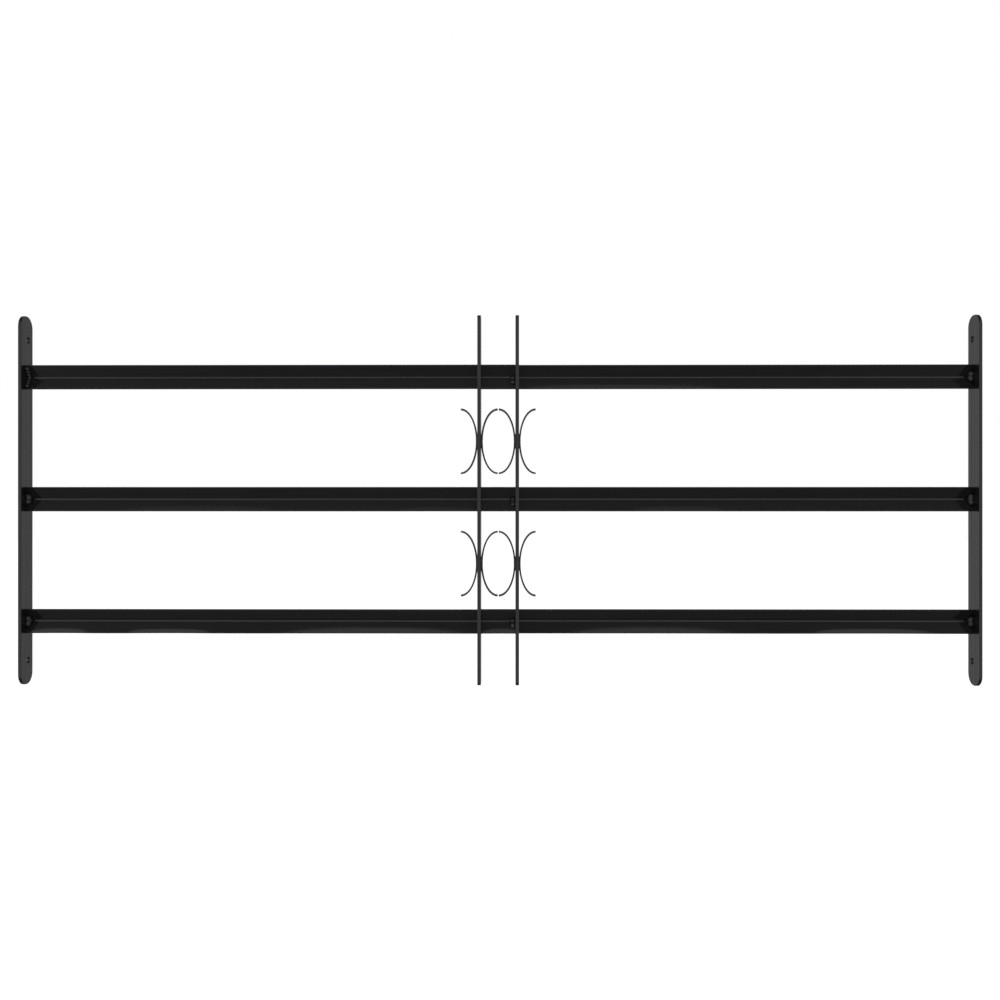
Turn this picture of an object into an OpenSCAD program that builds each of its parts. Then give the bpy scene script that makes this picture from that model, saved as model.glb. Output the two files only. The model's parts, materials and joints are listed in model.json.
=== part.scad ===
// Telescoping window security grille of black coated steel.
// Two welded halves slide into each other along X. Each half has one end plate, three folded
// crossbars, one upright and four C-shaped scrolls. A half's upright stands at the far end of
// its own bars and has slits that the other half's bars run through, so neither can pull out.
// X runs along the bars, -Y is the front, Z is up. The origin is the centre of the whole grille.

/* [Grille] */
// Width over both end plates, drawn out
grille_w = 1162; // [800:1:1500]
// Height of the end plates
grille_h = 450; // [430:1:600]
// Depth of the end plates and the uprights
grille_d = 30; // [30:0.5:40]
// Distance between the two uprights, drawn out
upright_gap = 46.1; // [46:0.1:80]

/* [End plates] */
// Thickness of an end plate
plate_t = 4; // [3:0.5:6]
// Radius of an end plate's corners
plate_r = 14; // [5:0.5:14.5]
// Diameter of a wall screw's hole
hole_d = 8; // [5:0.5:10]
// Distance between the two screw holes of one plate
hole_pitch = 392; // [380:1:400]
// How far the screw holes lie behind the middle of the plate
hole_back = 3.5; // [0:0.5:6]

/* [Crossbars] */
// Height of a crossbar's section
bar_h = 30; // [26:0.1:32]
// Thickness of the folded strip
bar_t = 2; // [1.5:0.1:2.5]
// Angle between a crossbar's sloping wings and the vertical
wing_slope = 31; // [25:0.5:35]
// Height of the flat floor of a crossbar's groove
groove_h = 1.3; // [1:0.1:4]
// Distance between neighbouring crossbars
bar_pitch = 148.8; // [140:0.1:160]
// How far the middle crossbar lies above the middle of the plates
bar_rise = 1.3; // [-3:0.1:3]
// Where the left bars' front edges lie, from the middle of the plates
bar_front = -5; // [-8:0.1:-4]
// How far the right bars lie behind the left bars
bar_step = 3.5; // [3.2:0.1:4.5]

/* [Uprights] */
// Height of an upright
upright_h = 447.5; // [400:0.5:600]
// Thickness of an upright
upright_t = 4.2; // [3:0.1:5]
// Radius of an upright's corners
upright_r = 5; // [2:0.5:12]
// Room between a sliding bar and its slit
slit_play = 0.5; // [0.3:0.05:0.6]

/* [Scrolls] */
// Height of a scroll
scroll_h = 79.6; // [50:0.1:100]
// How far a scroll's tips reach out from the upright's face
scroll_reach = 20.3; // [15:0.1:20.8]
// Thickness of the scroll's strip
scroll_t = 2; // [1.5:0.1:3]
// Width of the scroll's strip, front to back
scroll_d = 11; // [8:0.5:20]
// How far the scrolls lie below the middle of the plates' half heights
scroll_drop = 2.7; // [-5:0.1:5]

/* [Welds] */
// Radius of the weld beads on the bars
bead_r = 5.2; // [3:0.1:6]
// Radius of the weld beads on the scrolls
scroll_bead_r = 1.8; // [1:0.1:2]
// Length of the weld beads on the scrolls
scroll_bead_h = 16; // [8:1:20]

/* [Hidden] */

$fn = 64;

// A half is named by the side that its end plate stands on.
LEFT = -1;
RIGHT = 1;
// Rows of bars, and of scrolls, counted from the middle of the grille.
TOP = 1;
MIDDLE = 0;
BOTTOM = -1;
UPPER = 0.5;
LOWER = -0.5;
// A scroll stands on the side of its upright that faces its own plate (A) or the other one (B).
SIDE_A = 1;
SIDE_B = -1;

plate_colour = "#3a3a3c";
bar_colour = "#1d1d1f";
upright_colour = "#343436";
scroll_colour = "#262628";
weld_colour = "#404043";

// Inner face of an end plate, distance from the middle of the grille.
plate_inner = grille_w / 2 - plate_t;
// Face of an upright that its own bars are welded to.
upright_near = (upright_gap - upright_t) / 2;
// Half the height of a bar's front face, and how deep its groove is.
wing_z = bar_h / 2 - bar_t * sin(wing_slope);
groove_depth = (wing_z - groove_h / 2) * tan(wing_slope);
// Depth that a weld's space is drawn to, in front of or behind a bar.
weld_room = 12;
// Straight pieces that a scroll's curve is drawn with. An odd number gives it a flat at the weld.
scroll_steps = 27;
// How far down the lower wing the middle of an upright's bead sits, and how long its straight part is.
wing_bead_down = 4.5;
wing_bead_h = 6;

function bar_z(row) = bar_rise + row * bar_pitch;
function bar_y(half) = bar_front + (half == RIGHT ? bar_step : 0);
function scroll_z(row) = row * bar_pitch - scroll_drop;
function reversed(points) = [for (i = [len(points) - 1 : -1 : 0]) points[i]];

// One long edge line of a bar's section in [Y, Z], moved back by `back` square to the sheet
// and drawn past the sheet's own edges by `past`.
function section_line(back, past) =
    let (
        edge = [back * cos(wing_slope) - past * sin(wing_slope),
                wing_z + back * sin(wing_slope) + past * cos(wing_slope)],
        corner = [groove_depth + back, groove_h / 2 + back * tan(wing_slope / 2)]
    )
    [edge, corner, [corner[0], -corner[1]], [edge[0], -edge[1]]];

// The folded section of a bar in [Y, Z], with `play` added all round for a slit.
module bar_section(play = 0) {
    polygon(concat(section_line(-play, play), reversed(section_line(bar_t + play, play))));
}

// Draws a [Y, Z] outline and runs it along X from x0 to x1.
module along_x(x0, x1) {
    translate([min(x0, x1), 0, 0])
        rotate([90, 0, 90])
            linear_extrude(height = abs(x1 - x0))
                children();
}

// A flat bar's side view in [Y, Z], with round corners.
module flat_outline(bar_length, corner_r) {
    square([grille_d - 2 * corner_r, bar_length], center = true);
    square([grille_d, bar_length - 2 * corner_r], center = true);
    for (y = [-1, 1], z = [-1, 1])
        translate([y * (grille_d / 2 - corner_r), z * (bar_length / 2 - corner_r)])
            circle(r = corner_r);
}

// Flat bar that is screwed to the window's reveal, with one hole near each end.
module end_plate(half) {
    color(plate_colour)
        difference() {
            along_x(half * plate_inner, half * grille_w / 2)
                flat_outline(grille_h, plate_r);
            for (z = [-1, 1])
                translate([half * grille_w / 2, hole_back, z * hole_pitch / 2])
                    rotate([0, 90, 0])
                        cylinder(d = hole_d, h = 4 * plate_t, center = true);
        }
}

// Folded bar with its groove to the front, from its end plate to its half's upright.
module crossbar(half, row) {
    color(bar_colour)
        translate([0, bar_y(half), bar_z(row)])
            along_x(half * plate_inner, -half * upright_near)
                bar_section();
}

// Upright of one half, with a slit for each bar of the other half.
module upright(half) {
    x0 = -half * upright_near;
    x1 = -half * (upright_near + upright_t);
    color(upright_colour)
        difference() {
            along_x(x0, x1)
                flat_outline(upright_h, upright_r);
            for (row = [TOP, MIDDLE, BOTTOM])
                translate([0, bar_y(-half), bar_z(row)])
                    along_x(x0 + half * upright_t, x1 - half * upright_t)
                        bar_section(slit_play);
        }
}

// A scroll's centreline is half an ellipse. `off` moves a point out along the curve's normal.
function scroll_point(angle, off) =
    let (
        a = scroll_reach - scroll_t / 2,
        b = (scroll_h - scroll_t) / 2,
        normal = [b * cos(angle), a * sin(angle)]
    )
    [a * cos(angle), b * sin(angle)] + off * normal / norm(normal);

function scroll_line(off) =
    [for (i = [0 : scroll_steps]) scroll_point(180 * i / scroll_steps - 90, off)];

// How far out the flat at the middle of the curve lies.
scroll_flat = max([for (p = scroll_line(scroll_t / 2)) p[0]]);

// X of the upright's face that a scroll stands on, and the way the scroll points.
function scroll_dir(half, side) = half * side;
function scroll_face(half, side) =
    -half * (upright_near + upright_t / 2) + scroll_dir(half, side) * upright_t / 2;

// C-shaped strip that touches its upright at the middle, with its tips pointing away.
module scroll(half, row, side) {
    outline = concat(scroll_line(scroll_t / 2), reversed(scroll_line(-scroll_t / 2)));
    color(scroll_colour)
        translate([scroll_face(half, side), 0, scroll_z(row)])
            rotate([90, 0, 0])
                linear_extrude(height = scroll_d, center = true)
                    polygon([for (p = outline)
                        [scroll_dir(half, side) * (scroll_flat - p[0]), p[1]]]);
}

// Space in front of a bar, or behind it, from x0 to x1: what is left of a bead there.
module weld_space(half, row, x0, x1, behind) {
    line = section_line(behind ? bar_t : 0, 0);
    far = behind ? groove_depth + weld_room : -weld_room;
    translate([0, bar_y(half), bar_z(row)])
        along_x(x0, x1)
            polygon(concat(line, [[far, line[3][1]], [far, line[0][1]]]));
}

// Two beads at each bar's end on its end plate, one in the groove and one behind it.
module plate_welds(half) {
    color(weld_colour)
        for (row = [TOP, MIDDLE, BOTTOM], behind = [false, true])
            intersection() {
                translate([half * plate_inner, bar_y(half) + groove_depth + bar_t / 2, bar_z(row)])
                    sphere(r = bead_r);
                weld_space(half, row, half * plate_inner, half * (plate_inner - weld_room), behind);
            }
}

// Upright bead with round ends.
module round_bead(r, straight) {
    cylinder(r = r, h = straight, center = true);
    for (end = [-1, 1])
        translate([0, 0, end * straight / 2])
            sphere(r = r);
}

// One bead down the lower wing of each bar's end, on its upright. The left bars have theirs in the
// groove and the right bars behind it, where the other half's bars don't run.
module upright_welds(half) {
    behind = half == RIGHT;
    x = -half * upright_near;
    y = bar_y(half) + groove_depth + bar_t / 2 - wing_bead_down * sin(wing_slope);
    drop = groove_h / 2 + wing_bead_down * cos(wing_slope);
    color(weld_colour)
        for (row = [TOP, MIDDLE, BOTTOM])
            intersection() {
                translate([x, y, bar_z(row) - drop])
                    rotate([-wing_slope, 0, 0])
                        round_bead(bead_r, wing_bead_h);
                weld_space(half, row, x, x + half * weld_room, behind);
            }
}

// Quarter-round beads down the front and back edges of each scroll, where it meets its upright.
module scroll_welds(half) {
    color(weld_colour)
        for (row = [UPPER, LOWER], side = [SIDE_A, SIDE_B], edge = [-1, 1])
            translate([scroll_face(half, side), edge * scroll_d / 2, scroll_z(row)])
                intersection() {
                    round_bead(scroll_bead_r, scroll_bead_h - 2 * scroll_bead_r);
                    translate([scroll_dir(half, side) * scroll_bead_r, edge * scroll_bead_r, 0])
                        cube([2 * scroll_bead_r, 2 * scroll_bead_r, scroll_bead_h], center = true);
                }
}

end_plate(LEFT);  // left_end_plate
crossbar(LEFT, TOP);  // left_bar_top
crossbar(LEFT, MIDDLE);  // left_bar_middle
crossbar(LEFT, BOTTOM);  // left_bar_bottom
upright(LEFT);  // left_half_upright
scroll(LEFT, UPPER, SIDE_A);  // left_half_scroll_upper_a
scroll(LEFT, UPPER, SIDE_B);  // left_half_scroll_upper_b
scroll(LEFT, LOWER, SIDE_A);  // left_half_scroll_lower_a
scroll(LEFT, LOWER, SIDE_B);  // left_half_scroll_lower_b
plate_welds(LEFT);  // left_plate_welds
upright_welds(LEFT);  // left_upright_welds
scroll_welds(LEFT);  // left_scroll_welds
end_plate(RIGHT);  // right_end_plate
crossbar(RIGHT, TOP);  // right_bar_top
crossbar(RIGHT, MIDDLE);  // right_bar_middle
crossbar(RIGHT, BOTTOM);  // right_bar_bottom
upright(RIGHT);  // right_half_upright
scroll(RIGHT, UPPER, SIDE_A);  // right_half_scroll_upper_a
scroll(RIGHT, UPPER, SIDE_B);  // right_half_scroll_upper_b
scroll(RIGHT, LOWER, SIDE_A);  // right_half_scroll_lower_a
scroll(RIGHT, LOWER, SIDE_B);  // right_half_scroll_lower_b
plate_welds(RIGHT);  // right_plate_welds
upright_welds(RIGHT);  // right_upright_welds
scroll_welds(RIGHT);  // right_scroll_welds
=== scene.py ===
"""Looks of a telescoping window security grille in black gloss powder coat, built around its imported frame."""

import json
import math

import bmesh
import bpy
from bpy.props import FloatProperty, FloatVectorProperty, PointerProperty
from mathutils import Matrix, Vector

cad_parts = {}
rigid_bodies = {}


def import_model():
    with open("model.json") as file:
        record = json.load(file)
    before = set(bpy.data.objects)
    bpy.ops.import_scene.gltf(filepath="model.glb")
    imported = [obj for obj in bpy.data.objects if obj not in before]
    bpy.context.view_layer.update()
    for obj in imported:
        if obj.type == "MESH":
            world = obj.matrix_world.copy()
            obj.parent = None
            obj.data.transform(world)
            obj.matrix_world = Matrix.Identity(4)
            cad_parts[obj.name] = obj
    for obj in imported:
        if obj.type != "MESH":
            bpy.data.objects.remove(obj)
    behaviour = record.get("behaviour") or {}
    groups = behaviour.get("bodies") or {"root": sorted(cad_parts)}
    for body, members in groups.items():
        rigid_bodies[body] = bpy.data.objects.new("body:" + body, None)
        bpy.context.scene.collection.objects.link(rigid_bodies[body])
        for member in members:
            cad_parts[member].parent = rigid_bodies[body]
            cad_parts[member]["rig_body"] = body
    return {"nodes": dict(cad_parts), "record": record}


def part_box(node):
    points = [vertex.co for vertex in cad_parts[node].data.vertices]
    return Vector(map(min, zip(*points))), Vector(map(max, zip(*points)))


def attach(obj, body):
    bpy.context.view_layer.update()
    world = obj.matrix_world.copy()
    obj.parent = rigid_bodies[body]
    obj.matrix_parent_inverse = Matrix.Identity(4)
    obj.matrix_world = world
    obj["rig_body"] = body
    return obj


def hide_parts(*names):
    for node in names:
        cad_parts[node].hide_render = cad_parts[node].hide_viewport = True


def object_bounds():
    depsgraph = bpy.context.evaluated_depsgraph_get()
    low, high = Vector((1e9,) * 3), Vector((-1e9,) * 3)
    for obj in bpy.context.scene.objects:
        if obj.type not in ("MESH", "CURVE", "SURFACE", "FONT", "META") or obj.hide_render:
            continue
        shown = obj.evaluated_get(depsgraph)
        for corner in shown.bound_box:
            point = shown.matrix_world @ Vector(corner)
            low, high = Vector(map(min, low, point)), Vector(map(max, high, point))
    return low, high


bl_info = {
    "name": "Telescoping Window Grille",
    "version": (1, 0, 0),
    "blender": (4, 5, 0),
    "location": "3D Viewport > Sidebar > Grille",
    "description": "Builds the coated steel pieces of a telescoping window grille and its studio",
    "category": "Object",
}

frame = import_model()
CAD_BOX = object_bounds()

MM = 0.001
HALVES = ("left", "right")
ROWS = ("top", "middle", "bottom")
SCROLLS = ("upper_a", "upper_b", "lower_a", "lower_b")
# The half and the row of the one bar with a thin bead along both wings at its plate. The others have
# one lump in the groove.
LONG_SEAM = ("left", "top")


def linear(hex_colour):
    """Linear RGB of an sRGB hex colour."""
    values = [int(hex_colour[i : i + 2], 16) / 255 for i in (1, 3, 5)]
    return [v / 12.92 if v <= 0.04045 else ((v + 0.055) / 1.055) ** 2.4 for v in values]


# ---------------------------------------------------------------- sizes and colours


class GrilleSizes(bpy.types.PropertyGroup):
    """Sizes of the grille's pieces that their CAD boxes don't give."""

    strip_t: FloatProperty(
        name="Bar strip", description="Thickness of the crossbars' folded strip",
        default=2 * MM, min=1 * MM, max=3 * MM, precision=4, unit="LENGTH")
    wing_slope: FloatProperty(
        name="Wing slope", description="Angle between a crossbar's wings and the vertical",
        default=math.radians(31), min=0.3, max=0.8, subtype="ANGLE")
    groove_h: FloatProperty(
        name="Groove floor", description="Height of the flat floor of a crossbar's groove",
        default=1.3 * MM, min=1 * MM, max=4 * MM, precision=4, unit="LENGTH")
    fold_cut: FloatProperty(
        name="Fold rounding", description="How far the rounding of a fold reaches from its corner",
        default=0.3 * MM, min=0.1 * MM, max=0.6 * MM, precision=4, unit="LENGTH")
    lip_bow: FloatProperty(
        name="Lip bow", description="How far a flattened stretch of a lower lip leans back at most",
        default=0.45 * MM, min=0, max=0.5 * MM, precision=5, unit="LENGTH")
    plate_r: FloatProperty(
        name="Plate corner", description="Radius of an end plate's corners",
        default=14 * MM, min=2 * MM, max=14.5 * MM, precision=4, unit="LENGTH")
    hole_d: FloatProperty(
        name="Screw hole", description="Diameter of a wall screw's hole",
        default=8 * MM, min=5 * MM, max=10 * MM, precision=4, unit="LENGTH")
    upright_r: FloatProperty(
        name="Upright corner", description="Radius of an upright's corners",
        default=5 * MM, min=2 * MM, max=12 * MM, precision=4, unit="LENGTH")
    slit_play: FloatProperty(
        name="Slit play", description="Room between a sliding bar and its slit",
        default=0.5 * MM, min=0.2 * MM, max=1 * MM, precision=4, unit="LENGTH")
    scroll_t: FloatProperty(
        name="Scroll strip", description="Thickness of a scroll's strip",
        default=2 * MM, min=1 * MM, max=3 * MM, precision=4, unit="LENGTH")
    edge_r: FloatProperty(
        name="Edge rounding", description="Rounding that the baked coat gives a sheared edge",
        default=0.35 * MM, min=0.1 * MM, max=1 * MM, precision=5, unit="LENGTH")
    bead_drop: FloatProperty(
        name="Weld drop", description="Radius of one drop of a weld bead on an end plate",
        default=4.0 * MM, min=2 * MM, max=4.5 * MM, precision=4, unit="LENGTH")
    bead_voxel: FloatProperty(
        name="Weld detail", description="Size of the smallest step in a weld bead's surface",
        default=0.4 * MM, min=0.2 * MM, max=1 * MM, precision=5, unit="LENGTH")


class CoatFinish(bpy.types.PropertyGroup):
    """Colours and gloss of the powder coat."""

    black: FloatVectorProperty(
        name="Coat", description="Colour of the black powder coat",
        default=linear("#1a1a1c"), size=3, min=0, max=1, subtype="COLOR")
    black_thin: FloatVectorProperty(
        name="Thin coat", description="Colour where the coat lies thinner",
        default=linear("#202023"), size=3, min=0, max=1, subtype="COLOR")
    gloss: FloatProperty(
        name="Roughness", description="Roughness of the coat on flat steel",
        default=0.11, min=0.05, max=0.6, subtype="FACTOR")
    peel: FloatProperty(
        name="Orange peel", description="Distance between the waves of the orange peel",
        default=3.0 * MM, min=1 * MM, max=8 * MM, precision=4, unit="LENGTH")


class GrilleStudio(bpy.types.PropertyGroup):
    """The camera and the lights."""

    distance: FloatProperty(
        name="Camera distance", description="From the camera to the middle of the grille",
        default=1.243, min=0.5, max=5, unit="LENGTH")
    aside: FloatProperty(
        name="Camera aside", description="How far right of the middle the camera stands",
        default=0.0135, min=-0.2, max=0.2, unit="LENGTH")
    aim: FloatProperty(
        name="Camera aim", description="How far right of the middle the camera looks",
        default=0.0021, min=-0.2, max=0.2, unit="LENGTH")
    aim_up: FloatProperty(
        name="Camera aim height", description="How far above the middle of the grille the camera looks",
        default=0.3 * MM, min=-0.2, max=0.2, precision=4, unit="LENGTH")
    lens: FloatProperty(
        name="Lens", description="Focal length", default=36.71, min=20, max=100, unit="CAMERA")
    card_light: FloatProperty(
        name="Front card", description="Radiance of the white card behind the camera",
        default=0.52, min=0, max=5)
    floor_drop: FloatProperty(
        name="Floor drop", description="Distance of the floor below the grille",
        default=0.6, min=0, max=2, unit="LENGTH")


# ---------------------------------------------------------------- modelling steps


# Coordinates closer than this are the same, in metres.
SAME = 1e-6


def only(*pieces):
    """Leaves edit mode and selects only these pieces; the first one is active."""
    if bpy.context.object and bpy.context.object.mode != "OBJECT":
        bpy.ops.object.mode_set(mode="OBJECT")
    for other in bpy.context.view_layer.objects:
        other.select_set(False)
    for piece in pieces:
        piece.select_set(True)
    bpy.context.view_layer.objects.active = pieces[0] if pieces else None


def placed(name, size=(1, 1, 1)):
    """Names the primitive that was just added, stretches it, and puts its place into its mesh."""
    piece = bpy.context.object
    piece.name = name
    piece.data.name = name
    piece.scale = size
    bpy.ops.object.transform_apply(location=True, rotation=True, scale=True)
    return piece


def edit(piece):
    """Opens a piece for editing with nothing selected."""
    only(piece)
    bpy.ops.object.mode_set(mode="EDIT")
    bpy.ops.mesh.select_all(action="DESELECT")


def pick(kind, test):
    """In edit mode, selects the VERT, EDGE or FACE parts whose points pass a test."""
    bpy.ops.mesh.select_mode(type=kind)
    bpy.ops.mesh.select_all(action="DESELECT")
    mesh = bmesh.from_edit_mesh(bpy.context.object.data)
    parts = {"VERT": mesh.verts, "EDGE": mesh.edges, "FACE": mesh.faces}[kind]
    for part in parts:
        if test([part.co] if kind == "VERT" else [v.co for v in part.verts]):
            part.select_set(True)
    bmesh.update_edit_mesh(bpy.context.object.data)


def modify(piece, kind, **settings):
    """Adds a modifier with its settings and applies it."""
    only(piece)
    modifier = piece.modifiers.new(kind.title(), kind)
    for key, value in settings.items():
        setattr(modifier, key, value)
    bpy.ops.object.modifier_apply(modifier=modifier.name)


def round_edges(piece, radius, segments=3):
    """Rounds every sheared edge of a piece and smooths the shading between them."""
    only(piece)
    bpy.ops.object.shade_smooth()
    modify(piece, "BEVEL", width=radius, segments=segments, limit_method="ANGLE",
           angle_limit=math.radians(50), harden_normals=True, miter_outer="MITER_ARC")


def cut(piece, cutter):
    """Cuts one piece out of another and deletes the cutter."""
    modify(piece, "BOOLEAN", operation="DIFFERENCE", solver="EXACT", object=cutter)
    bpy.data.objects.remove(cutter)


def finish_piece(piece, node, material):
    """Gives a piece its material and lets it stand for its CAD node on that node's body."""
    piece.data.materials.clear()
    piece.data.materials.append(material)
    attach(piece, frame["nodes"][node]["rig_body"])
    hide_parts(node)


# ---------------------------------------------------------------- materials


def add_node(tree, kind, inputs=None, **settings):
    """Adds a node. An input's value is a number, a colour or another node's output."""
    node = tree.nodes.new(kind)
    for key, value in settings.items():
        setattr(node, key, value)
    for key, value in (inputs or {}).items():
        if isinstance(value, bpy.types.NodeSocket):
            tree.links.new(value, node.inputs[key])
        else:
            node.inputs[key].default_value = value
    return node


def powder_coat(name, finish, gloss, peel_depth, rolled):
    """Polyester powder coat, baked on steel. It flows out to a gloss skin with a faint orange peel,
    and lies a little thinner and greyer in patches. Faint lines run along rolled steel under it:
    their size along each axis, their share in the colour, and their depth."""
    line_size, line_share, line_depth = rolled
    material = bpy.data.materials.new(name)
    material.use_nodes = True
    tree = material.node_tree
    tree.nodes.clear()
    place = add_node(tree, "ShaderNodeTexCoord").outputs["Object"]
    # Patches of thinner coat, some 35 mm across.
    patches = add_node(tree, "ShaderNodeTexNoise", {
        "Vector": place, "Scale": 1 / (35 * MM), "Detail": 3.0, "Roughness": 0.5})
    # Lines that the rolls left along the steel.
    along = add_node(tree, "ShaderNodeMapping", {
        "Vector": place, "Scale": [1 / (size * MM) for size in line_size]})
    lines = add_node(tree, "ShaderNodeTexNoise", {
        "Vector": along.outputs["Vector"], "Scale": 1.0, "Detail": 1.0, "Roughness": 0.5})
    both = add_node(tree, "ShaderNodeMix", {
        0: line_share, 2: patches.outputs["Fac"], 3: lines.outputs["Fac"]})
    thin = add_node(tree, "ShaderNodeMapRange", {
        "Value": both.outputs[0], "From Min": 0.35, "From Max": 0.65})
    colour = add_node(tree, "ShaderNodeMix", {
        0: thin.outputs["Result"], 6: [*finish.black, 1], 7: [*finish.black_thin, 1]}, data_type="RGBA")
    # Fine haze, some 6 mm across, varies the gloss.
    haze = add_node(tree, "ShaderNodeTexNoise", {
        "Vector": place, "Scale": 1 / (6 * MM), "Detail": 4.0, "Roughness": 0.6})
    rough = add_node(tree, "ShaderNodeMapRange", {
        "Value": haze.outputs["Fac"], "From Min": 0.3, "From Max": 0.7,
        "To Min": gloss * 0.85, "To Max": gloss * 1.25})
    # Orange peel. The real waves are 1 to 2 mm apart; they are drawn wider, so that they show.
    peel = add_node(tree, "ShaderNodeTexNoise", {
        "Vector": place, "Scale": 1 / finish.peel, "Detail": 1.5, "Roughness": 0.45})
    ridges = add_node(tree, "ShaderNodeBump", {
        "Height": lines.outputs["Fac"], "Strength": 1.0, "Distance": line_depth})
    bump = add_node(tree, "ShaderNodeBump", {
        "Height": peel.outputs["Fac"], "Strength": 1.0, "Distance": peel_depth,
        "Normal": ridges.outputs["Normal"]})
    shader = add_node(tree, "ShaderNodeBsdfPrincipled", {
        "Base Color": colour.outputs[2], "Roughness": rough.outputs["Result"],
        "IOR": 1.5, "Normal": bump.outputs["Normal"]})
    add_node(tree, "ShaderNodeOutputMaterial", {"Surface": shader.outputs["BSDF"]})
    return material


# Lines that the rolls left: their size along X, Y and Z in mm, their share in the colour, their depth.
# On flat bar they are drawn wider and far deeper than real ones, so that they show in its mirror.
STRIP_LINES = ((120, 1.5, 1.5), 0.75, 0.0)
FLAT_LINES = ((60, 5.0, 300), 0.2, 0.3 * MM)

# slot: (material's name, roughness over the finish's, depth of its orange peel, its lines)
COATS = {
    # Thick flat bar keeps its heat and cures slowly: a soft mirror, broken by long upright lines.
    "plate_powder_coat": ("gloss_powder_coat_on_flat_plate", 1.8, 0.020 * MM, FLAT_LINES),
    # Thin folded strip is the glossiest: its wings mirror the dark of the room, its lips the card.
    "bar_powder_coat": ("gloss_powder_coat_on_folded_strip", 0.65, 0.010 * MM, STRIP_LINES),
    # Narrow flat bar: its front edge shows as one even dark grey line.
    "upright_powder_coat": ("gloss_powder_coat_on_upright", 1.0, 0.016 * MM, FLAT_LINES),
    # Bent strip: grey on its edges, bright only where it turns to the light.
    "scroll_powder_coat": ("gloss_powder_coat_on_bent_strip", 1.1, 0.016 * MM, STRIP_LINES),
    # Rough beads hold more powder and stay dull: soft grey lumps in the dark corners.
    "weld_powder_coat": ("powder_coat_over_weld_beads", 2.2, 0.060 * MM, STRIP_LINES),
}


def coat(slot):
    """The powder coat of one slot, made the first time that it is asked for."""
    name, dullness, peel_depth, rolled = COATS[slot]
    found = bpy.data.materials.get(name)
    finish = bpy.context.scene.grille_finish
    return found or powder_coat(name, finish, finish.gloss * dullness, peel_depth, rolled)


# ---------------------------------------------------------------- shapes


# Rounding of the end plates' and the uprights' edges, over that of the other sheared edges.
PLATE_EDGE = 1.4
UPRIGHT_EDGE = 0.8

# How many columns a crossbar is drawn in along its length, and how many steps up each wing.
STRIP_COLUMNS = 100
WING_STEPS = 14

# Stretches of the lower lips that the folding press left flatter, on each bar: their middle and
# their length along X, in metres, how far up the wing they reach, as a share of it, and how far
# they lean back, as a share of the lip bow.
FLATS = {
    "left_bar_top": (),
    "left_bar_middle": ((-0.366, 0.19, 0.5, 0.28), (-0.073, 0.10, 0.4, 0.25)),
    "left_bar_bottom": (
        (-0.536, 0.08, 0.5, 1.0),
        (-0.402, 0.11, 0.42, 1.0),
        (-0.152, 0.28, 0.9, 1.0),
        (0.003, 0.05, 0.5, 1.0),
    ),
    "right_bar_top": ((0.150, 0.25, 0.45, 0.27),),
    "right_bar_middle": ((0.220, 0.12, 0.45, 0.27),),
    "right_bar_bottom": ((0.185, 0.26, 1.0, 1.0), (0.453, 0.16, 0.5, 1.0)),
}


def flat_bar(name, low, high, corner_r):
    """Flat steel between two corners of a box, with the corners of its side view rounded."""
    only()
    middle = (low + high) / 2
    bpy.ops.mesh.primitive_cube_add(size=1, location=middle)
    piece = placed(name, high - low)
    edit(piece)
    pick("EDGE", lambda ends: abs(ends[0].y - ends[1].y) < SAME and abs(ends[0].z - ends[1].z) < SAME)
    bpy.ops.mesh.bevel(offset=corner_r, segments=10, affect="EDGES", clamp_overlap=False)
    only(piece)
    return piece


class BarSection:
    """Where the folded section of a bar lies, from the bar's CAD box."""

    def __init__(self, node, play=0.0):
        sizes = bpy.context.scene.grille_sizes
        low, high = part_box(node)
        slope = sizes.wing_slope
        self.play = play
        self.slope = slope
        self.t = sizes.strip_t + 2 * play
        self.x = (low.x, high.x)
        self.z = (low.z + high.z) / 2
        # The front face of the sheet: its outer edge, and the corners of the groove's floor.
        edge_z = (high.z - low.z) / 2 - sizes.strip_t * math.sin(slope)
        depth = (edge_z - sizes.groove_h / 2) * math.tan(slope)
        self.floor_y = low.y + depth - play
        self.floor_half = sizes.groove_h / 2 - play * math.tan(slope / 2)
        self.wing = (edge_z - sizes.groove_h / 2) / math.cos(slope) + play * math.tan(slope / 2) + play

    def front(self, up):
        """[Y, Z] of the sheet's front face at a height above the middle of the bar."""
        over = max(0.0, abs(up) - self.floor_half)
        return self.floor_y - over * math.tan(self.slope), self.z + up


def folded_strip(name, section, columns=1, steps=1, flats=None):
    """Strip folded to a shallow groove that opens to the front. Its lower lip may have flatter stretches."""
    sizes = bpy.context.scene.grille_sizes
    x0, x1 = section.x
    only()
    bpy.ops.mesh.primitive_grid_add(
        x_subdivisions=columns, y_subdivisions=1, size=1,
        location=((x0 + x1) / 2, section.floor_y, section.z),
        rotation=(math.pi / 2, 0, 0))
    piece = placed(name, (x1 - x0, 2 * section.floor_half, 1))
    edit(piece)
    for side in (1, -1):
        pick("EDGE", lambda ends: all((p.z - section.z) * side > section.floor_half * 0.9 for p in ends))
        reach = section.wing / steps
        for step in range(steps):
            bpy.ops.mesh.extrude_region_move(TRANSFORM_OT_translate={
                "value": (0, -reach * math.sin(section.slope), side * reach * math.cos(section.slope))})
    if flats is not None:
        pick("EDGE", lambda ends: all(
            abs(abs(p.z - section.z) - section.floor_half) < SAME for p in ends)
            and abs(ends[0].z - ends[1].z) < SAME)
        bpy.ops.mesh.bevel(offset=sizes.fold_cut, segments=4, affect="EDGES")
        flatten_lip(piece, section, flats)
    modify(piece, "SOLIDIFY", thickness=section.t, offset=-1, use_even_offset=True)
    return piece


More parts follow.
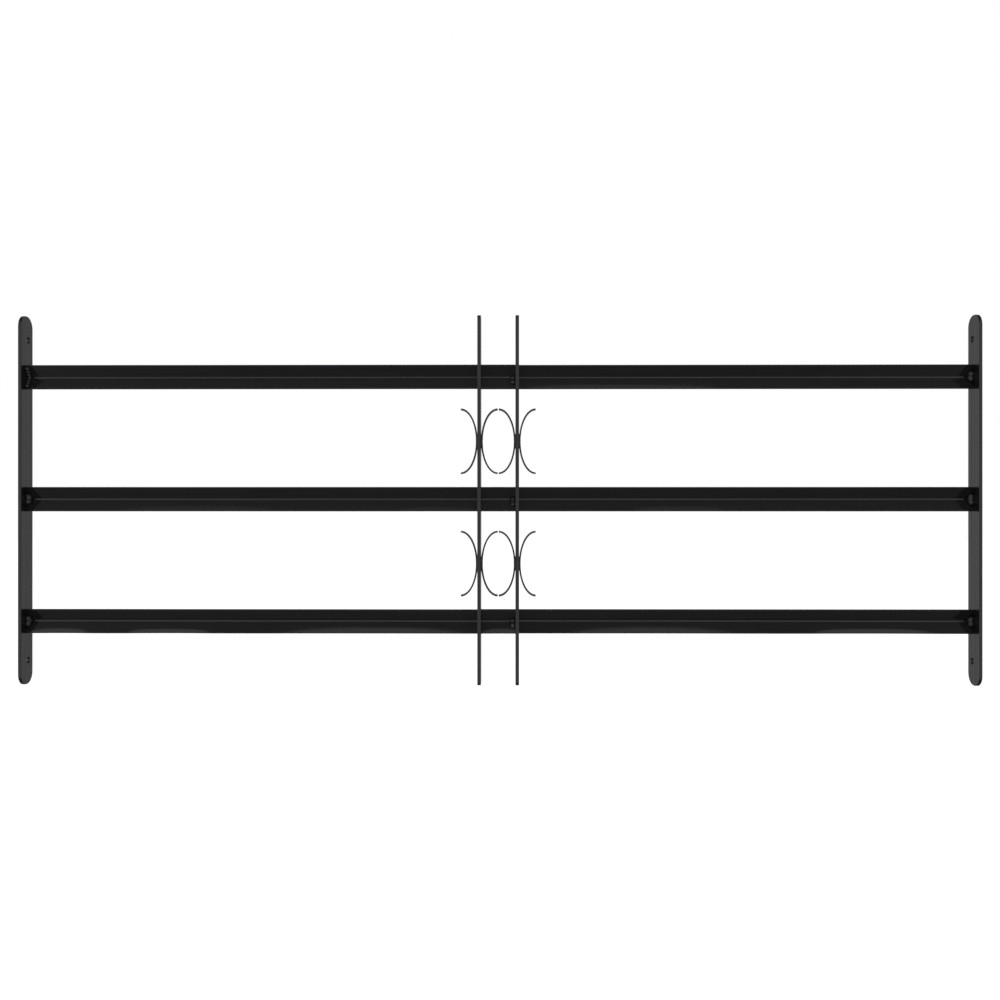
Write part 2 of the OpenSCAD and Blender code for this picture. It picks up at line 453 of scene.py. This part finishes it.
def flatten_lip(piece, section, flats):
    """Leans stretches of the lower lip back towards the vertical, most in the middle of each."""
    only(piece)
    group = piece.vertex_groups.new(name="lip")
    wing_h = section.wing * math.cos(section.slope)
    for v in piece.data.vertices:
        up = (v.co.z - section.z + section.floor_half + wing_h) / wing_h
        lean = 0.0
        for middle, length, height, share in flats:
            along = 1 - (2 * (v.co.x - middle) / length) ** 2
            if along > 0 and up < height:
                lean = max(lean, share * along * (1 - up / height) ** 2)
        if lean > 0:
            group.add([v.index], lean, "REPLACE")
    modify(piece, "DISPLACE", strength=bpy.context.scene.grille_sizes.lip_bow, mid_level=0.0,
           direction="Y", vertex_group="lip")
    piece.vertex_groups.clear()


def weld_bead(name, drops, voxel):
    """One or more weld beads from overlapping drops, each a place and three radii."""
    parts = []
    for place, radii in drops:
        only()
        bpy.ops.mesh.primitive_uv_sphere_add(segments=20, ring_count=12, radius=1, location=place)
        parts.append(placed(name, radii))
    only(*parts)
    bpy.ops.object.join()
    piece = bpy.context.object
    modify(piece, "REMESH", mode="VOXEL", voxel_size=voxel)
    modify(piece, "SMOOTH", factor=0.5, iterations=6)
    only(piece)
    bpy.ops.object.shade_smooth()
    return piece


# Kinds of bead on a bar's end. Size of the drops, how far their middles stand off the welded face,
# and how far they lie behind the strip's face, each in drops; and whether that is its back face.
GROOVE_LUMP = (1.15, 0.4, -0.7, False)
WING_BEAD = (0.65, 0.7, -0.45, False)
BACK_BEAD = (0.7, 0.8, 0.3, True)
UPRIGHT_FRONT_BEAD = (0.8, 0.8, -0.2, False)
UPRIGHT_BACK_BEAD = (0.8, 0.8, 0.3, True)

# Radius of a drop of a scroll's bead, over that of the bars' beads.
SCROLL_DROP = 0.36


def seam_drops(x, side, section, heights, bead, drop, seed):
    """Drops of one bead across a bar's end, at heights above the bar's middle. x is the face it is
    welded to, side the way to the bar, and drop a drop's radius. The drops are uneven, as by hand."""
    size, out, behind, on_back = bead
    radius = size * drop
    drops = []
    for i, height in enumerate(heights):
        y, z = section.front(height)
        y += behind * drop + (section.t if on_back else 0)
        grow = 1 + 0.1 * math.sin(2.3 * i + 1.7 * seed)
        shift = 0.12 * radius * math.sin(4.1 * i + 2.9 * seed)
        drops.append((
            (x + side * (out * radius + shift * 0.5), y, z + shift),
            ((0.6 + out) * radius * grow, 0.9 * radius * grow, 0.9 * radius * grow)))
    return drops


# ---------------------------------------------------------------- operators


class GRILLE_OT_end_plates(bpy.types.Operator):
    """Two flat end plates with round corners and two screw holes each"""

    bl_idname = "grille.end_plates"
    bl_label = "End Plates"

    def execute(self, context):
        sizes = context.scene.grille_sizes
        holes = {m["name"]: m for m in frame["record"]["mounts"]}
        for half in HALVES:
            node = f"{half}_end_plate"
            low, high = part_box(node)
            plate = flat_bar(f"{half}_plate", low, high, sizes.plate_r)
            mount = holes[f"{half}_wall_holes"]
            for end in (-1, 1):
                only()
                bpy.ops.mesh.primitive_cylinder_add(
                    vertices=48, radius=sizes.hole_d / 2, depth=50 * MM, rotation=(0, math.pi / 2, 0),
                    location=(mount["pos_m"][0], mount["pos_m"][1],
                              mount["pos_m"][2] + end * mount["dims"]["spacing_y_mm"] * MM / 2))
                cut(plate, placed("drill"))
            round_edges(plate, sizes.edge_r * PLATE_EDGE)
            finish_piece(plate, node, coat("plate_powder_coat"))
        return {"FINISHED"}


class GRILLE_OT_crossbars(bpy.types.Operator):
    """Six crossbars of folded strip, their grooves open to the front"""

    bl_idname = "grille.crossbars"
    bl_label = "Crossbars"

    def execute(self, context):
        sizes = context.scene.grille_sizes
        for half in HALVES:
            for row in ROWS:
                node = f"{half}_bar_{row}"
                bar = folded_strip(
                    f"{half}_crossbar_{row}", BarSection(node), STRIP_COLUMNS, WING_STEPS, FLATS[node])
                round_edges(bar, sizes.edge_r)
                finish_piece(bar, node, coat("bar_powder_coat"))
        return {"FINISHED"}


class GRILLE_OT_uprights(bpy.types.Operator):
    """Two uprights, each with a folded slit for every bar of the other half"""

    bl_idname = "grille.uprights"
    bl_label = "Uprights"

    def execute(self, context):
        sizes = context.scene.grille_sizes
        for half, other in zip(HALVES, reversed(HALVES)):
            node = f"{half}_half_upright"
            low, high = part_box(node)
            upright = flat_bar(f"{half}_half_slotted_upright", low, high, sizes.upright_r)
            for row in ROWS:
                section = BarSection(f"{other}_bar_{row}", sizes.slit_play)
                section.x = (low.x - 5 * MM, high.x + 5 * MM)
                cut(upright, folded_strip("slit", section))
            round_edges(upright, sizes.edge_r * UPRIGHT_EDGE)
            finish_piece(upright, node, coat("upright_powder_coat"))
        return {"FINISHED"}


class GRILLE_OT_scrolls(bpy.types.Operator):
    """Eight C-scrolls of strip bent to half an ellipse, their tips away from the upright"""

    bl_idname = "grille.scrolls"
    bl_label = "Scrolls"

    def execute(self, context):
        sizes = context.scene.grille_sizes
        for half in HALVES:
            upright_low, upright_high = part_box(f"{half}_half_upright")
            upright_x = (upright_low.x + upright_high.x) / 2
            for place in SCROLLS:
                node = f"{half}_half_scroll_{place}"
                low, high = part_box(node)
                right = (low.x + high.x) / 2 > upright_x
                tip_x = high.x if right else low.x
                a = high.x - low.x - sizes.scroll_t / 2
                b = (high.z - low.z - sizes.scroll_t) / 2
                only()
                bpy.ops.mesh.primitive_circle_add(
                    vertices=120, radius=1, location=(tip_x, low.y, (low.z + high.z) / 2),
                    rotation=(math.pi / 2, 0, 0))
                scroll = placed(f"{half}_half_c_scroll_{place}", (a, b, 1))
                edit(scroll)
                pick("VERT", lambda at: (at[0].x - tip_x) * (1 if right else -1) > SAME)
                bpy.ops.mesh.delete(type="VERT")
                bpy.ops.mesh.select_all(action="SELECT")
                bpy.ops.mesh.extrude_region_move(
                    TRANSFORM_OT_translate={"value": (0, high.y - low.y, 0)})
                modify(scroll, "SOLIDIFY", thickness=sizes.scroll_t, offset=0, use_even_offset=True)
                edit(scroll)
                bpy.ops.mesh.select_all(action="SELECT")
                bpy.ops.mesh.normals_make_consistent(inside=False)
                round_edges(scroll, sizes.edge_r, 2)
                finish_piece(scroll, node, coat("scroll_powder_coat"))
        return {"FINISHED"}


class GRILLE_OT_bar_welds(bpy.types.Operator):
    """Weld beads that hold the crossbars to their end plate and to their upright"""

    bl_idname = "grille.bar_welds"
    bl_label = "Bar Welds"

    def execute(self, context):
        sizes = context.scene.grille_sizes
        drop = sizes.bead_drop
        in_groove = [0.4 * drop * i for i in (-2, -1, 0, 1, 2)]
        on_both_wings = [0.3 * drop * i for i in range(-9, 10)]
        down_lower_wing = [-0.4 * drop * i for i in (0, 1, 2, 3, 4)]
        for half_seed, half in enumerate(HALVES):
            side = 1 if half == "left" else -1
            upright_bead = UPRIGHT_FRONT_BEAD if half == "left" else UPRIGHT_BACK_BEAD
            plate_drops, upright_drops = [], []
            for row_seed, row in enumerate(ROWS):
                section = BarSection(f"{half}_bar_{row}")
                plate_x, upright_x = section.x if half == "left" else section.x[::-1]
                seed = 3 * half_seed + row_seed
                if (half, row) == LONG_SEAM:
                    plate_drops += seam_drops(plate_x, side, section, on_both_wings, WING_BEAD, drop, seed)
                else:
                    plate_drops += seam_drops(plate_x, side, section, in_groove, GROOVE_LUMP, drop, seed)
                plate_drops += seam_drops(plate_x, side, section, in_groove, BACK_BEAD, drop, seed + 7)
                upright_drops += seam_drops(
                    upright_x, -side, section, down_lower_wing, upright_bead, drop, seed + 3)
            for name, node, drops in (
                (f"{half}_plate_weld_beads", f"{half}_plate_welds", plate_drops),
                (f"{half}_upright_weld_beads", f"{half}_upright_welds", upright_drops),
            ):
                bead = weld_bead(name, drops, sizes.bead_voxel)
                finish_piece(bead, node, coat("weld_powder_coat"))
        return {"FINISHED"}


class GRILLE_OT_scroll_welds(bpy.types.Operator):
    """Weld beads down the front and back edges of the scrolls, where they meet their upright"""

    bl_idname = "grille.scroll_welds"
    bl_label = "Scroll Welds"

    def execute(self, context):
        sizes = context.scene.grille_sizes
        r = sizes.bead_drop * SCROLL_DROP
        for seed, half in enumerate(HALVES):
            upright_low, upright_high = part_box(f"{half}_half_upright")
            upright_x = (upright_low.x + upright_high.x) / 2
            drops = []
            for k, place in enumerate(SCROLLS):
                low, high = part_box(f"{half}_half_scroll_{place}")
                right = (low.x + high.x) / 2 > upright_x
                face = low.x if right else high.x
                out = 1 if right else -1
                # Eleven drops, one radius apart, half sunk between the scroll's back and its upright.
                for edge, way in ((low.y, -1), (high.y, 1)):
                    for i in range(-5, 6):
                        wobble = math.sin(2.7 * i + k + 3 * seed)
                        drops.append((
                            (face + out * 0.5 * r, edge + way * 0.15 * r,
                             (low.z + high.z) / 2 + i * r + 0.2 * r * wobble),
                            (r * (1 + 0.12 * wobble), 0.85 * r, 0.95 * r)))
            bead = weld_bead(f"{half}_scroll_weld_beads", drops, sizes.bead_voxel)
            finish_piece(bead, f"{half}_scroll_welds", coat("weld_powder_coat"))
        return {"FINISHED"}


class GRILLE_OT_stage(bpy.types.Operator):
    """Pale floor, soft studio lights and the camera"""

    bl_idname = "grille.stage"
    bl_label = "Stage"

    def execute(self, context):
        studio = context.scene.grille_studio
        scene = context.scene
        scene.view_settings.view_transform = "Standard"
        low, high = CAD_BOX
        camera = bpy.data.objects.new("camera", bpy.data.cameras.new("camera"))
        scene.collection.objects.link(camera)
        camera.location = (studio.aside, -studio.distance, 0)
        aim = Vector((studio.aim, 0, studio.aim_up)) - camera.location
        camera.rotation_euler = aim.to_track_quat("-Z", "Y").to_euler()
        camera.data.lens = studio.lens
        camera.data.clip_end = 50
        scene.camera = camera

        only()
        bpy.ops.mesh.primitive_plane_add(size=40, location=(0, 0, low.z - studio.floor_drop))
        floor = placed("floor")
        floor.data.materials.append(floor_paint())
        floor.visible_glossy = False
        floor.visible_diffuse = False

        # The card ends just below where the lower wings look, so only their flattened lips mirror it.
        card_z = 0.49
        soft_light("front_card", (0, -2.4, card_z), (0, 0, card_z), 5.0, 4.8, studio.card_light)
        # Two narrow strips under the ceiling show in the lips of the middle bar and of the top bar.
        ceiling_z = 2.6
        soft_light("low_strip", (0, -1.55, ceiling_z), (0, 0, 0), 4.6, 0.18, 0.21)
        soft_light("high_strip", (0, -1.1, ceiling_z), (0, 0, high.z), 4.6, 0.16, 0.36)
        # A card over the back shows in the bars' top edges, and in their upper wings from behind.
        soft_light("top_card", (0, 2.0, ceiling_z), (0, 2.0, 0), 3.0, 3.4, 0.35)
        world_light(scene)
        return {"FINISHED"}


def soft_light(name, place, target, width, height, radiance):
    """Large soft light that is seen in reflections and never by the camera."""
    data = bpy.data.lights.new(name, "AREA")
    data.shape = "RECTANGLE"
    data.size = width
    data.size_y = height
    data.energy = math.pi * width * height * radiance
    light = bpy.data.objects.new(name, data)
    bpy.context.scene.collection.objects.link(light)
    light.location = place
    light.rotation_euler = (Vector(target) - Vector(place)).to_track_quat("-Z", "Y").to_euler()
    light.visible_camera = False
    return light


def floor_paint():
    """Matt white floor paint, lit evenly."""
    material = bpy.data.materials.new("matt_white_floor")
    material.use_nodes = True
    tree = material.node_tree
    tree.nodes.clear()
    shader = add_node(tree, "ShaderNodeBsdfPrincipled", {
        "Base Color": [0.3, 0.3, 0.3, 1], "Roughness": 0.9,
        "Emission Color": [1, 1, 1, 1], "Emission Strength": 0.98})
    add_node(tree, "ShaderNodeOutputMaterial", {"Surface": shader.outputs["BSDF"]})
    return material


def world_light(scene):
    """White room to the camera. To the coat it is a dim grey one, darker overhead, underfoot and
    around the camera."""
    world = bpy.data.worlds.new("studio")
    world.use_nodes = True
    scene.world = world
    tree = world.node_tree
    tree.nodes.clear()
    way = add_node(tree, "ShaderNodeSeparateXYZ", {
        0: add_node(tree, "ShaderNodeTexCoord").outputs["Generated"]})
    steep = add_node(tree, "ShaderNodeMath", {0: way.outputs["Z"]}, operation="ABSOLUTE")
    # It fades between 27 and 53 degrees above and below the horizon.
    fade = add_node(tree, "ShaderNodeMapRange", {
        "Value": steep.outputs[0], "From Min": 0.45, "From Max": 0.8, "To Min": 1.0, "To Max": 0.33})
    # The left half of the room is a little brighter than the right.
    side = add_node(tree, "ShaderNodeMapRange", {
        "Value": way.outputs["X"], "From Min": -0.5, "From Max": 0.5, "To Min": 0.5, "To Max": 0.42})
    # It darkens to half within 53 degrees of straight in front of the grille.
    front = add_node(tree, "ShaderNodeMapRange", {
        "Value": way.outputs["Y"], "From Min": -1.0, "From Max": -0.6, "To Min": 0.5, "To Max": 1.0})
    dim = add_node(tree, "ShaderNodeMath", {0: fade.outputs[0], 1: side.outputs[0]}, operation="MULTIPLY")
    room = add_node(tree, "ShaderNodeMath", {0: dim.outputs[0], 1: front.outputs[0]}, operation="MULTIPLY")
    coat_sees = add_node(tree, "ShaderNodeBackground", {"Color": [1, 1, 1, 1], "Strength": room.outputs[0]})
    camera_sees = add_node(tree, "ShaderNodeBackground", {"Color": [1, 1, 1, 1], "Strength": 1.0})
    path = add_node(tree, "ShaderNodeLightPath")
    mix = add_node(tree, "ShaderNodeMixShader", {
        0: path.outputs["Is Camera Ray"], 1: coat_sees.outputs[0], 2: camera_sees.outputs[0]})
    add_node(tree, "ShaderNodeOutputWorld", {"Surface": mix.outputs[0]})


# ---------------------------------------------------------------- panel and registration


PIECE_OPERATORS = (
    GRILLE_OT_end_plates,
    GRILLE_OT_crossbars,
    GRILLE_OT_uprights,
    GRILLE_OT_scrolls,
    GRILLE_OT_bar_welds,
    GRILLE_OT_scroll_welds,
    GRILLE_OT_stage,
)


class GRILLE_PT_panel(bpy.types.Panel):
    """Buttons for the grille's pieces"""

    bl_label = "Window Grille"
    bl_idname = "GRILLE_PT_panel"
    bl_space_type = "VIEW_3D"
    bl_region_type = "UI"
    bl_category = "Grille"

    def draw(self, context):
        scene = context.scene
        for group in (scene.grille_sizes, scene.grille_finish, scene.grille_studio):
            box = self.layout.box()
            for name in group.__annotations__:
                box.prop(group, name)
        for operator in PIECE_OPERATORS:
            self.layout.operator(operator.bl_idname)


CLASSES = (GrilleSizes, CoatFinish, GrilleStudio, *PIECE_OPERATORS, GRILLE_PT_panel)


def register():
    for cls in CLASSES:
        bpy.utils.register_class(cls)
    bpy.types.Scene.grille_sizes = PointerProperty(type=GrilleSizes)
    bpy.types.Scene.grille_finish = PointerProperty(type=CoatFinish)
    bpy.types.Scene.grille_studio = PointerProperty(type=GrilleStudio)


def unregister():
    del bpy.types.Scene.grille_studio
    del bpy.types.Scene.grille_finish
    del bpy.types.Scene.grille_sizes
    for cls in reversed(CLASSES):
        bpy.utils.unregister_class(cls)


def main():
    """Builds every piece and the stage."""
    register()
    bpy.ops.grille.end_plates()
    bpy.ops.grille.crossbars()
    bpy.ops.grille.uprights()
    bpy.ops.grille.scrolls()
    bpy.ops.grille.bar_welds()
    bpy.ops.grille.scroll_welds()
    bpy.ops.grille.stage()


if __name__ == "__main__":
    main()
